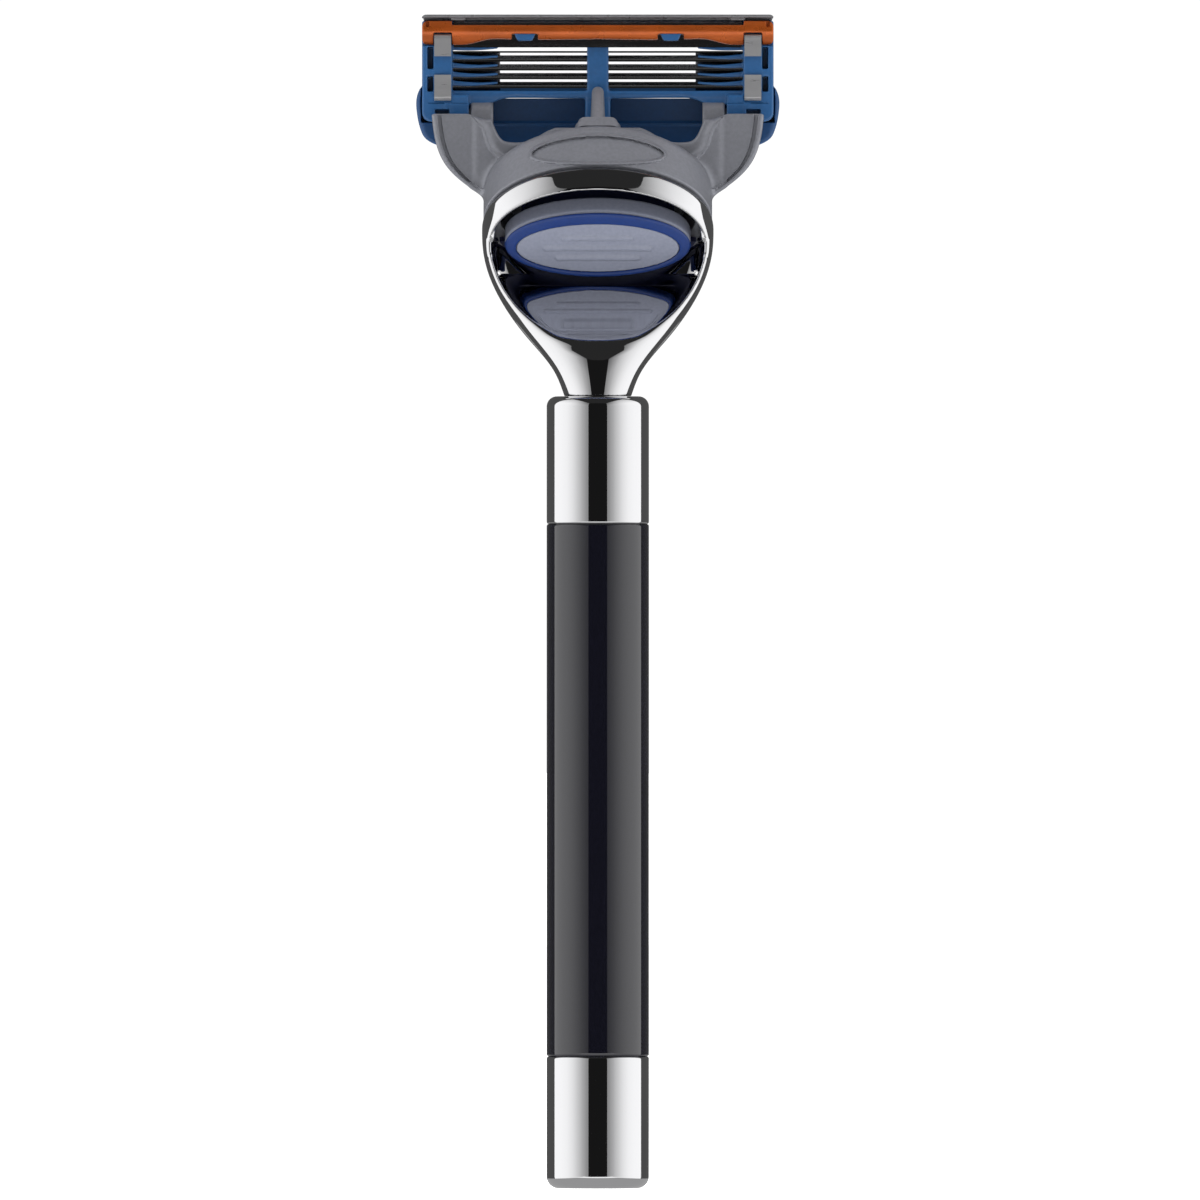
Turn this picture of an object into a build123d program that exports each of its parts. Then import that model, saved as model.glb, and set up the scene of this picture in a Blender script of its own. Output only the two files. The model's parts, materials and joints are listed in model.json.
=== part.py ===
"""Cartridge razor: chrome and resin handle, push-button dock, pivoting five-blade cartridge.

Units are millimetres. The origin is the centre of the end cap's flat bottom face, +Z runs up
the handle to the head, +X runs along the blades, and +Y is the way the blades face.
Everything is symmetric about X = 0.
"""
from build123d import *
from math import cos, radians, sin
import os

# ---------------------------------------------------------------- driving dimensions
HANDLE_R = 6.05             # end cap, sleeve and collar share one diameter
CAP_TOP = 15.6
SLEEVE_TOP = 78.6
COLLAR_TOP = 93.7
GROOVE = 0.25               # chamfer on each side of a joint line in the handle
ROD_R = 1.95
FIT = 0.05                  # radial gap between a shaft and its hole

DOCK_TILT = 46.0            # angle of the docking axis, forward from +Z
RING_Y, RING_Z = 6.0, 114.4     # centre of the head ring's end plane
RING_A, RING_B = 13.7, 9.3      # half width and half depth of the ring
RING_WALL = 1.4
BORE_START = -4.6           # bottom of the ring's bore, on the docking axis
NECK_R = 3.95
SHANK_R = 3.4
SHANK_BOTTOM = 84.5
SCOOP_TOP = 111.9           # top of the thumb scoop, and middle of the opening in the spoon's back
WINDOW_A, WINDOW_B = 12.5, 5.6
LATCH_WIDTH, LATCH_DEPTH = 3.8, 0.6

BUTTON_A, BUTTON_B = 11.0, 5.15
BUTTON_BACK = -3.7          # docking-axis place of the button's blue border
BUTTON_END = -1.0           # open end of the button's hood
BUTTON_T = 0.8
BORDER_T = 0.5              # the blue border stands this far out of the hood
PAD_A, PAD_B = 9.7, 3.95
PAD_DROP = 0.55             # the pad sits this far below the border's middle
CORE_A, CORE_B = 8.8, 3.1   # docking nose
CORE_START, CORE_END = -0.85, 3.7
WEB_GAP = 0.06              # between the nose's web and the ring's bore
SPRING_SEAT = 2.7           # bottom of the spring's pocket in the nose

YOKE_A, YOKE_B = 13.55, 9.15
YOKE_BACK = 0.3             # gap between ring and connector
YOKE_TOP = 8.0
PLUNGER_U = 7.0             # plunger axis, back from the docking axis
PLUNGER_R = 0.88
PLUNGER_TAIL, PLUNGER_TIP = 5.0, 15.62

PIVOT_Y, PIVOT_Z = 13.5, 127.0
PIN_R = 0.9
PIN_X0, PIN_X1 = 15.1, 17.0
BEARING_X0, BEARING_X1 = 12.4, 15.1
BEARING_R = 1.8
ARM_BACK, ARM_FRONT = 8.4, 9.8

FRAME_X = 20.95             # half width of the rigid frame
WINDOW_X = 17.3             # half width of the blade window
FRAME_BACK = PIVOT_Y - 2.0
FRAME_FRONT = PIVOT_Y + 4.4
FRAME_BOTTOM, FRAME_TOP = 126.3, 138.3
LEDGE_Z0, LEDGE_Z1 = 129.2, 130.0
BRIDGE_Z0 = 136.3
GUARD_X = 21.5
GUARD_BOTTOM = 123.1
GUARD_BACK, GUARD_FRONT = PIVOT_Y + 2.2, PIVOT_Y + 5.2

BLADE_COUNT = 5
BLADE_PITCH = 1.05
BLADE_Z = 130.45            # leg of the lowest blade support
BLADE_X = 18.2
BLADE_ANGLE = 22.0          # between a blade strip and the shaving plane
LEG_BACK = PIVOT_Y + 0.9
LEG_FRONT = PIVOT_Y + 3.7
SUPPORT_T = 0.22
PLATFORM = 0.85             # length of a support's slanted front
FLANGE_X = 11.6             # half width of the flange along a support's back edge
FLANGE_DROP, FLANGE_T = 0.4, 0.12
STRIP_T, STRIP_LENGTH = 0.1, 1.15

CLIP_X0, CLIP_X1 = 17.4, 19.4
CLIP_T = 0.3
CLIP_BACK, CLIP_FRONT = FRAME_BACK - 0.3, FRAME_FRONT + 0.5
CLIP_Z0, CLIP_Z1 = 128.8, 136.75

HOLDER_BACK, HOLDER_FRONT = FRAME_BACK - 0.5, FRAME_BACK + 0.6
HOLDER_Z0, HOLDER_Z1 = 136.15, 137.8
TRAY_Z0, TRAY_Z1 = 138.35, 139.05

DOCK_SIN, DOCK_COS = sin(radians(DOCK_TILT)), cos(radians(DOCK_TILT))


# ---------------------------------------------------------------- helpers
def dock_point(s, u=0.0, x=0.0):
    """Point s along the docking axis from the ring plane and u towards the back and top."""
    y = RING_Y + s * DOCK_SIN - u * DOCK_COS
    z = RING_Z + s * DOCK_COS + u * DOCK_SIN
    return Vector(x, y, z)


def dock_plane(s, u=0.0, x=0.0):
    """Plane across the docking axis; its local y points to the front and down."""
    return Plane(origin=dock_point(s, u, x), x_dir=(1, 0, 0), z_dir=(0, DOCK_SIN, DOCK_COS))


def dock_prism(sketch, s0, s1, u=0.0, x=0.0):
    return extrude(dock_plane(s0, u, x) * sketch, s1 - s0)


def polygon(points):
    return make_face(Polyline(*points, close=True))


def along_x(face, x0, x1):
    """Extrude a face drawn in (y, z) from x0 to x1."""
    return extrude(Plane.YZ.offset(x0) * face, x1 - x0)


def along_y(face, y0, y1):
    """Extrude a face drawn in (x, z) from y0 to y1."""
    return extrude(Plane.XZ.offset(-y1) * face, y1 - y0)


def block(x0, x1, y0, y1, z0, z1):
    centre = ((x0 + x1) / 2, (y0 + y1) / 2, (z0 + z1) / 2)
    return Pos(*centre) * Box(x1 - x0, y1 - y0, z1 - z0)


def both_sides(shape):
    return shape + mirror(shape, about=Plane.YZ)


def tube(r_out, r_in, z0, z1):
    body = Pos(0, 0, (z0 + z1) / 2) * Cylinder(r_out, z1 - z0)
    return body - Pos(0, 0, (z0 + z1) / 2) * Cylinder(r_in, z1 - z0)


def edges_at(shape, z, r):
    """Circular edges of a turned part at height z and radius r."""
    return [e for e in shape.edges().filter_by(GeomType.CIRCLE)
            if abs(e.radius - r) < 0.01 and abs(e.center().Z - z) < 0.01]


def coil(s0, s1, radius, wire_r, turns, u):
    """Compression spring on a docking-axis line, between its two seats."""
    height = s1 - s0 - 2 * wire_r
    path = Helix(pitch=height / turns, height=height, radius=radius)
    profile = (path ^ 0) * Circle(wire_r)
    return dock_plane(s0 + wire_r, u).location * sweep(profile, path)


# ---------------------------------------------------------------- handle
def end_cap():
    body = Pos(0, 0, CAP_TOP / 2) * Cylinder(HANDLE_R, CAP_TOP)
    body = fillet(edges_at(body, 0, HANDLE_R), 1.4)
    body = chamfer(edges_at(body, CAP_TOP, HANDLE_R), GROOVE)
    hole_depth = 11.0
    hole = Pos(0, 0, CAP_TOP - hole_depth / 2) * Cylinder(ROD_R + FIT, hole_depth)
    return body - hole


def grip_sleeve():
    body = tube(HANDLE_R, ROD_R + 0.6, CAP_TOP, SLEEVE_TOP)
    body = chamfer(edges_at(body, CAP_TOP, HANDLE_R), GROOVE)
    return chamfer(edges_at(body, SLEEVE_TOP, HANDLE_R), GROOVE)


def core_rod():
    z0, z1 = 5.0, 91.0
    body = Pos(0, 0, (z0 + z1) / 2) * Cylinder(ROD_R, z1 - z0)
    return chamfer(edges_at(body, z0, ROD_R) + edges_at(body, z1, ROD_R), 0.4)


def neck_collar():
    body = tube(HANDLE_R, ROD_R + FIT, SLEEVE_TOP, COLLAR_TOP)
    socket_depth = COLLAR_TOP - SHANK_BOTTOM + 0.2
    body -= Pos(0, 0, COLLAR_TOP - socket_depth / 2) * Cylinder(SHANK_R + FIT, socket_depth)
    body = chamfer(edges_at(body, SLEEVE_TOP, HANDLE_R), GROOVE)
    return fillet(edges_at(body, COLLAR_TOP, HANDLE_R), 1.2)


def head_outside():
    """Spoon that grows out of the neck and bends forward to the ring plane."""
    stations = [  # centre y, centre z, tilt, half width, half depth
        (0.0, COLLAR_TOP, 0.0, NECK_R + 0.01, NECK_R),
        (0.3, 96.8, 8.0, 5.25, 3.9),
        (1.9, 101.0, 22.0, 8.5, 4.3),
        (3.2, 106.2, 34.0, 11.9, 7.4),
        (4.4, 111.2, 42.0, 13.6, 9.1),
        (RING_Y, RING_Z, DOCK_TILT, RING_A, RING_B),
    ]
    sections = []
    for y, z, tilt, half_width, half_depth in stations:
        up = (0, sin(radians(tilt)), cos(radians(tilt)))
        plane = Plane(origin=(0, y, z), x_dir=(1, 0, 0), z_dir=up)
        sections.append(plane * Ellipse(half_width, half_depth))
    return loft(sections)


def scoop_tool():
    """Thumb scoop: a floor that slopes forward under the button, inside a rim."""
    top, back = SCOOP_TOP, -14.0
    floor = Spline((-3.6, 99.2), (-2.4, 100.2), (-0.8, 101.0), (0.5, 101.9), (3.1, 104.2),
                   (6.4, 106.9), (8.0, 108.2))
    closing = Polyline(floor @ 1, (8.0, top), (back, top), (back, 99.2), floor @ 0)
    depth = along_x(make_face(Curve() + [floor, closing]), -RING_A, RING_A)
    side = Spline((0, 98.0), (4.6, 100.1), (7.6, 102.3), (9.7, 104.6), (12.0, 108.5), (12.5, top))
    half = make_face(Curve() + [side, Polyline(side @ 1, (0, top), side @ 0)])
    rim = half + mirror(half, about=Plane.YZ)
    return depth & along_y(rim, back, 9.0)


def head_casting():
    bore = Ellipse(RING_A - RING_WALL, RING_B - RING_WALL)
    window = Pos(0, SCOOP_TOP) * Ellipse(WINDOW_A, WINDOW_B)
    latch_notch = Rectangle(LATCH_WIDTH, 2 * LATCH_DEPTH)
    body = head_outside()
    body -= dock_prism(bore, BORE_START, 1.0)
    body -= scoop_tool()
    body -= along_y(window, -14.0, 2.0)
    body -= dock_prism(latch_notch, -0.35, 1.0, RING_B)
    shank_length = COLLAR_TOP - SHANK_BOTTOM + 0.5
    body += Pos(0, 0, SHANK_BOTTOM + shank_length / 2) * Cylinder(SHANK_R, shank_length)
    thread_depth = 7.0
    hole = Pos(0, 0, SHANK_BOTTOM + thread_depth / 2) * Cylinder(ROD_R + FIT, thread_depth)
    return body - hole


def dock_base():
    """Docking nose held by a web across the lower part of the ring."""
    nose = dock_prism(Ellipse(CORE_A, CORE_B), CORE_START, CORE_END)
    nose = chamfer(nose.edges().sort_by(Axis((0, 0, 0), (0, DOCK_SIN, DOCK_COS)))[-1], 0.5)
    web_outline = Ellipse(RING_A - RING_WALL - WEB_GAP, RING_B - RING_WALL - WEB_GAP)
    lower_half = Pos(0, 5.4) * Rectangle(30, 6.0)
    web = dock_prism(web_outline & lower_half, CORE_START, -0.05)
    finger = dock_prism(Rectangle(0.7, 2.4), 2.0, 3.3, 0.0, CORE_A - 0.1)
    spring_pocket = dock_prism(Circle(1.7), CORE_START - 0.2, SPRING_SEAT)
    return nose + web + both_sides(finger) - spring_pocket


# ---------------------------------------------------------------- button
def border_skirt():
    """Lower half of the hood's back edge, which belongs to the blue border."""
    rim = Ellipse(BUTTON_A, BUTTON_B) - Ellipse(BUTTON_A - 0.6, BUTTON_B - 0.6)
    lower_half = Pos(0, BUTTON_B) * Rectangle(30, 2 * BUTTON_B)
    return dock_prism(rim & lower_half, BUTTON_BACK, BUTTON_BACK + BUTTON_T)


def button_carriage():
    """Hood with a closed back, open towards the nose and along its lower edge."""
    wall = 1.0
    inner = Ellipse(BUTTON_A - wall, BUTTON_B - wall)
    body = dock_prism(Ellipse(BUTTON_A, BUTTON_B), BUTTON_BACK, BUTTON_END)
    body -= dock_prism(inner, BUTTON_BACK + BUTTON_T, 0.0)
    lower_cut = Pos(0, 6.2) * Rectangle(30, 8.0)
    body -= dock_prism(lower_cut, BUTTON_BACK + BUTTON_T, 0.0)
    return body - border_skirt()


def button_ring():
    pad_hole = Pos(0, PAD_DROP) * Ellipse(PAD_A, PAD_B)
    border = Ellipse(BUTTON_A, BUTTON_B) - pad_hole
    return dock_prism(border, BUTTON_BACK - BORDER_T, BUTTON_BACK) + border_skirt()


def button_pad():
    face_s = BUTTON_BACK - 0.3
    pad = dock_prism(Pos(0, PAD_DROP) * Ellipse(PAD_A - 0.02, PAD_B - 0.02), face_s, BUTTON_BACK)
    for offset, half_length in ((-1.6, 4.2), (0.1, 6.4), (1.7, 4.9)):
        rib = Pos(0, PAD_DROP + offset) * SlotCenterToCenter(2 * half_length, 0.6)
        pad += dock_prism(rib, face_s - 0.25, face_s)
    return pad


def ejector_spring():
    return coil(BUTTON_BACK + BUTTON_T, SPRING_SEAT, 1.3, 0.16, 7, 0.0)


# ---------------------------------------------------------------- connector
def outer_arm():
    """One curved outer arm, drawn in (x, z) and cut from a plate."""
    outer = Spline((12.6, 115.8), (15.6, 118.8), (17.85, 120.9), (19.0, 123.1), (19.7, 127.2))
    inner = Spline((15.2, 127.2), (13.6, 125.8), (12.7, 123.4), (10.8, 121.6))
    edge = Curve() + [outer, Line(outer @ 1, inner @ 0), inner, Line(inner @ 1, outer @ 0)]
    plate = along_y(make_face(edge), ARM_BACK, ARM_FRONT)
    return fillet(plate.edges().group_by(Axis.Y)[0], 0.35)


def bearing_arm():
    """Arm beside the cartridge's end block, with a round end and the pivot pin."""
    shank_s = 6.2
    pivot_s = (PIVOT_Y - RING_Y) * DOCK_SIN + (PIVOT_Z - RING_Z) * DOCK_COS
    pivot_u = (PIVOT_Z - RING_Z) * DOCK_SIN - (PIVOT_Y - RING_Y) * DOCK_COS
    corners = []
    for s, u in ((shank_s, pivot_u - 4.4), (pivot_s, pivot_u - BEARING_R),
                 (pivot_s, pivot_u + BEARING_R), (shank_s, pivot_u - 0.6)):
        point = dock_point(s, u)
        corners.append((point.Y, point.Z))
    arm = along_x(polygon(corners), BEARING_X0, BEARING_X1)
    eye = Pos(PIVOT_Y, PIVOT_Z) * Circle(BEARING_R)
    pin = Pos(PIVOT_Y, PIVOT_Z) * Circle(PIN_R)
    return arm + along_x(eye, BEARING_X0, BEARING_X1) + along_x(pin, PIN_X0, PIN_X1)


def arm_web():
    """Thin web that fills the corner between the arch and the two arms of a side."""
    top = Spline((6.0, 125.2), (8.9, 123.9), (10.5, 123.9), (11.7, 124.5), (12.6, 126.6))
    edge = Curve() + [top, Polyline(top @ 1, (14.6, 126.6), (14.6, 118.4), (6.0, 118.4), top @ 0)]
    return along_y(make_face(edge), ARM_BACK + 0.5, ARM_FRONT + 0.3)


def connector_yoke():
    body = dock_prism(Ellipse(YOKE_A, YOKE_B), YOKE_BACK, YOKE_TOP + 1)
    wedge = [dock_point(s, u) for s, u in ((4.2, -12.0), (8.3, 12.0), (20.0, 12.0), (20.0, -12.0))]
    body -= along_x(polygon([(p.Y, p.Z) for p in wedge]), -20, 20)
    top_edge = body.edges().sort_by(Axis((0, 0, 0), (0, DOCK_SIN, DOCK_COS)))[-1]
    body = fillet(top_edge, 0.9)
    body += both_sides(outer_arm())
    body += both_sides(bearing_arm())
    body += both_sides(arm_web())
    body -= dock_prism(Ellipse(11.5, 5.75), -1.0, CORE_END + 0.6)
    body -= dock_prism(Circle(PLUNGER_R + 0.07), 1.2, 12.0, PLUNGER_U)
    return body


def plunger_guide():
    wide = SlotOverall(5.4, 2.3)
    narrow = SlotOverall(4.7, 1.9)
    body = dock_prism(wide, YOKE_TOP, YOKE_TOP + 0.9, PLUNGER_U)
    body += dock_prism(narrow, YOKE_TOP + 0.9, YOKE_TOP + 1.7, PLUNGER_U)
    return body - dock_prism(Circle(PLUNGER_R + 0.07), 0, 12.0, PLUNGER_U)


def plunger():
    tip_r = 0.72
    taper_s = YOKE_TOP + 2.0
    body = dock_prism(Circle(PLUNGER_R), PLUNGER_TAIL, taper_s, PLUNGER_U)
    round_s = PLUNGER_TIP - tip_r
    cone = loft([dock_plane(taper_s, PLUNGER_U) * Circle(PLUNGER_R),
                 dock_plane(round_s, PLUNGER_U) * Circle(tip_r)])
    return body + cone + Pos(*dock_point(round_s, PLUNGER_U)) * Sphere(tip_r)


def plunger_spring():
    return coil(1.2, PLUNGER_TAIL, 0.6, 0.1, 6, PLUNGER_U)


# ---------------------------------------------------------------- cartridge
def clip_passage(gap):
    """Space taken by the two clips, grown by a gap, for cutting their slots."""
    outer = along_x(clip_outline(-gap), CLIP_X0 - gap, CLIP_X1 + gap)
    inner = along_x(clip_outline(CLIP_T + gap), CLIP_X0 - gap - 1, CLIP_X1 + gap + 1)
    return both_sides(outer - inner)


def clip_outline(inset):
    """Closed clip loop in (y, z), shrunk by an inset."""
    width = CLIP_FRONT - CLIP_BACK - 2 * inset
    height = CLIP_Z1 - CLIP_Z0 - 2 * inset
    centre = ((CLIP_BACK + CLIP_FRONT) / 2, (CLIP_Z0 + CLIP_Z1) / 2)
    return Pos(*centre) * RectangleRounded(width, height, max(0.5 - inset, 0.15))


def clip(side):
    """Bent strip round the blade ends, open at the back between its two tabs."""
    body = along_x(clip_outline(0.0), CLIP_X0, CLIP_X1)
    body -= along_x(clip_outline(CLIP_T), CLIP_X0 - 1, CLIP_X1 + 1)
    body -= block(CLIP_X0 - 1, CLIP_X1 + 1, CLIP_BACK - 1, CLIP_BACK + 1, 131.9, 134.1)
    return body if side > 0 else mirror(body, about=Plane.YZ)


def cartridge_frame():
    end = block(WINDOW_X, FRAME_X, FRAME_BACK, FRAME_FRONT, FRAME_BOTTOM, FRAME_TOP)
    end = fillet(end.edges().filter_by(Axis.Y).sort_by(Axis.X)[-2:], 1.1)
    end += block(PIN_X0 + 0.2, WINDOW_X + 0.5, FRAME_BACK, PIVOT_Y + 2.0,
                 FRAME_BOTTOM, LEDGE_Z0 + 0.3)
    end -= block(WINDOW_X - 0.1, 18.6, PIVOT_Y + 0.7, FRAME_FRONT + 1, LEDGE_Z1 - 0.7, BRIDGE_Z0)
    end -= block(19.55, 20.15, FRAME_BACK - 1, FRAME_BACK + 2.5, 132.6, 135.2)
    end -= block(19.55, 20.15, FRAME_BACK - 1, FRAME_BACK + 2.5, 129.9, 131.7)
    end -= block(17.6, 19.3, FRAME_BACK - 1, FRAME_BACK + 1.5, 127.2, 127.8)
    pin_hole = Pos(PIVOT_Y, PIVOT_Z) * Circle(PIN_R + FIT)
    end -= along_x(pin_hole, PIN_X0, PIN_X1 + 0.15)
    body = both_sides(end)
    body += block(-WINDOW_X, WINDOW_X, FRAME_BACK + 1.1, FRAME_FRONT, BRIDGE_Z0, FRAME_TOP)
    body += block(-WINDOW_X, WINDOW_X, FRAME_BACK + 1.3, LEG_FRONT - 0.6, LEDGE_Z0, LEDGE_Z1)
    bar_back, bar_front = PIVOT_Y - 0.8, PIVOT_Y + 0.6
    body += block(-1.27, 1.27, bar_back, bar_front, LEDGE_Z0 - 0.1, BRIDGE_Z0 + 0.1)
    body += block(-1.5, 1.5, bar_back, bar_front, 126.6, LEDGE_Z0)
    for index in range(BLADE_COUNT):
        z = BLADE_Z + (index + 0.5) * BLADE_PITCH
        finger = block(11.85, WINDOW_X + 0.1, PIVOT_Y - 0.6, PIVOT_Y + 1.3, z - 0.2, z + 0.2)
        body += both_sides(finger)
    holder_room = block(WINDOW_X - 0.1, 22, FRAME_BACK - 1, HOLDER_FRONT + 0.05, 135.35, 140)
    body -= both_sides(holder_room)
    return body - clip_passage(0.04)


def guard_outline():
    half = Spline((0, GUARD_BOTTOM), (16.5, GUARD_BOTTOM), (19.6, 123.7), (21.0, 125.2),
                  (GUARD_X, 127.6), (21.3, 129.8), (20.6, 131.2), tangents=[(1, 0), (-0.6, 1)])
    closing = Polyline(half @ 1, (0, 131.2), (0, GUARD_BOTTOM))
    face = make_face(Curve() + [half, closing])
    return face + mirror(face, about=Plane.YZ)


def guard():
    """Soft finned guard below the blades, wrapped round the frame's lower corners."""
    body = along_y(guard_outline(), GUARD_BACK, GUARD_FRONT)
    body -= block(-19.6, 19.6, GUARD_BACK - 1, GUARD_FRONT + 1, LEDGE_Z0 - 0.05, 132)
    frame_room = block(WINDOW_X - 0.05, FRAME_X + 0.02, GUARD_BACK - 1, FRAME_FRONT + 0.03,
                       FRAME_BOTTOM - 0.03, 132)
    body -= both_sides(frame_room)
    body -= clip_passage(0.06)
    fin_pitch = 0.52
    for index in range(9):
        z = 124.4 + index * fin_pitch
        body -= block(-16.6, 16.6, GUARD_FRONT - 0.55, GUARD_FRONT + 1, z - 0.11, z + 0.11)
    return body


def blade_support(index):
    """Bent steel support: a flange at the back, a leg and a platform for the strip."""
    z = BLADE_Z + index * BLADE_PITCH
    half = SUPPORT_T / 2
    run = Vector(sin(radians(BLADE_ANGLE)), -cos(radians(BLADE_ANGLE)))
    normal = Vector(cos(radians(BLADE_ANGLE)), sin(radians(BLADE_ANGLE)))
    top = Vector(LEG_FRONT, z + half)
    low_front = top + run * PLATFORM
    low_back = low_front - normal * SUPPORT_T
    inner = low_back + run * ((z - half - low_back.Y) / run.Y)
    outline = [(LEG_BACK, z - half), (LEG_BACK, z + half), (top.X, top.Y),
               (low_front.X, low_front.Y), (low_back.X, low_back.Y), (inner.X, inner.Y)]
    support = along_x(polygon(outline), -BLADE_X, BLADE_X)
    flange_back = LEG_BACK + 0.1
    flange = polygon([(LEG_BACK, z + half), (flange_back, z - FLANGE_DROP),
                      (flange_back + FLANGE_T, z - FLANGE_DROP), (LEG_BACK + 0.3, z + half)])
    return support + along_x(flange, -FLANGE_X, FLANGE_X)


def blade(index):
    """Thin strip on the front of its support, ground to an edge at its lower end."""
    z = BLADE_Z + index * BLADE_PITCH
    run = Vector(sin(radians(BLADE_ANGLE)), -cos(radians(BLADE_ANGLE)))
    normal = Vector(cos(radians(BLADE_ANGLE)), sin(radians(BLADE_ANGLE)))
    back_top = Vector(LEG_FRONT, z + SUPPORT_T / 2) + run * 0.05
    front_top = back_top + normal * STRIP_T
    front_low = front_top + run * (STRIP_LENGTH - 0.2)
    edge = back_top + run * STRIP_LENGTH
    outline = [(p.X, p.Y) for p in (back_top, front_top, front_low, edge)]
    return along_x(polygon(outline), -BLADE_X, BLADE_X)


def trimmer_holder():
    """Metallic bar across the back with two end blocks and a notch round each clip."""
    bar = block(-CLIP_X0, CLIP_X0, HOLDER_BACK + 0.3, HOLDER_FRONT, HOLDER_Z0, HOLDER_Z1)
    top_z = TRAY_Z0 - 0.03
    end = block(CLIP_X0 - 0.2, FRAME_X - 0.1, HOLDER_BACK, HOLDER_FRONT, 135.4, top_z)
    end = fillet(end.edges().filter_by(Axis.Y).sort_by(Axis.X)[-2:], 0.6)
    foot = polygon([(13.2, HOLDER_Z0 + 0.1), (15.6, 135.5), (CLIP_X0, 135.4),
                    (CLIP_X0, HOLDER_Z0 + 0.1)])
    end += along_y(foot, HOLDER_BACK + 0.3, HOLDER_FRONT)
    notch = block(CLIP_X0 - 0.1, CLIP_X1 + 0.1, HOLDER_BACK - 1, HOLDER_FRONT + 1,
                  135, CLIP_Z1 + 0.15)
    hole = Pos(20.2, 137.9) * Ellipse(0.22, 0.4)
    end = end - notch - along_y(hole, HOLDER_BACK - 1, HOLDER_BACK + 0.6)
    body = bar + both_sides(end)
    tab_slot = block(7.3, 10.0, HOLDER_BACK - 1, HOLDER_FRONT + 1, 136.0, 136.7)
    return body - both_sides(tab_slot)


def trimmer_blade():
    back = HOLDER_FRONT + 0.03
    body = block(-17.1, 17.1, back, back + 0.25, 135.15, TRAY_Z0 - 0.1)
    return chamfer(body.edges().filter_by(Axis.X).sort_by(Axis.Z)[-2:][0], 0.2)


def strip_tray():
    """Rail along the top edge that holds the lubricating strip."""
    body = block(-FRAME_X, FRAME_X, HOLDER_BACK + 0.4, FRAME_FRONT + 0.3, TRAY_Z0, TRAY_Z1)
    return fillet(body.edges().filter_by(Axis.Y).group_by(Axis.Z)[-1], 0.6)


def lubricating_strip():
    body = block(-16.9, 16.9, FRAME_FRONT + 0.03, FRAME_FRONT + 0.7,
                 BRIDGE_Z0 + 0.1, TRAY_Z0 - 0.05)
    return fillet(body.edges().filter_by(Axis.X).sort_by(Axis.Y)[-2:], 0.25)


# ---------------------------------------------------------------- write every node
def all_nodes():
    nodes = {
        "end_cap": end_cap(),
        "grip_sleeve": grip_sleeve(),
        "core_rod": core_rod(),
        "neck_collar": neck_collar(),
        "head_casting": head_casting(),
        "dock_base": dock_base(),
        "button_carriage": button_carriage(),
        "button_ring": button_ring(),
        "button_pad": button_pad(),
        "ejector_spring": ejector_spring(),
        "connector_yoke": connector_yoke(),
        "plunger_guide": plunger_guide(),
        "plunger": plunger(),
        "plunger_spring": plunger_spring(),
        "cartridge_frame": cartridge_frame(),
        "guard": guard(),
        "clip_left": clip(-1),
        "clip_right": clip(1),
        "trimmer_holder": trimmer_holder(),
        "trimmer_blade": trimmer_blade(),
        "strip_tray": strip_tray(),
        "lubricating_strip": lubricating_strip(),
    }
    for index in range(BLADE_COUNT):
        nodes[f"blade_support_{index + 1}"] = blade_support(index)
        nodes[f"blade_{index + 1}"] = blade(index)
    return nodes


os.makedirs("parts", exist_ok=True)
for name, shape in all_nodes().items():
    export_step(shape, f"parts/{name}.step")
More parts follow.
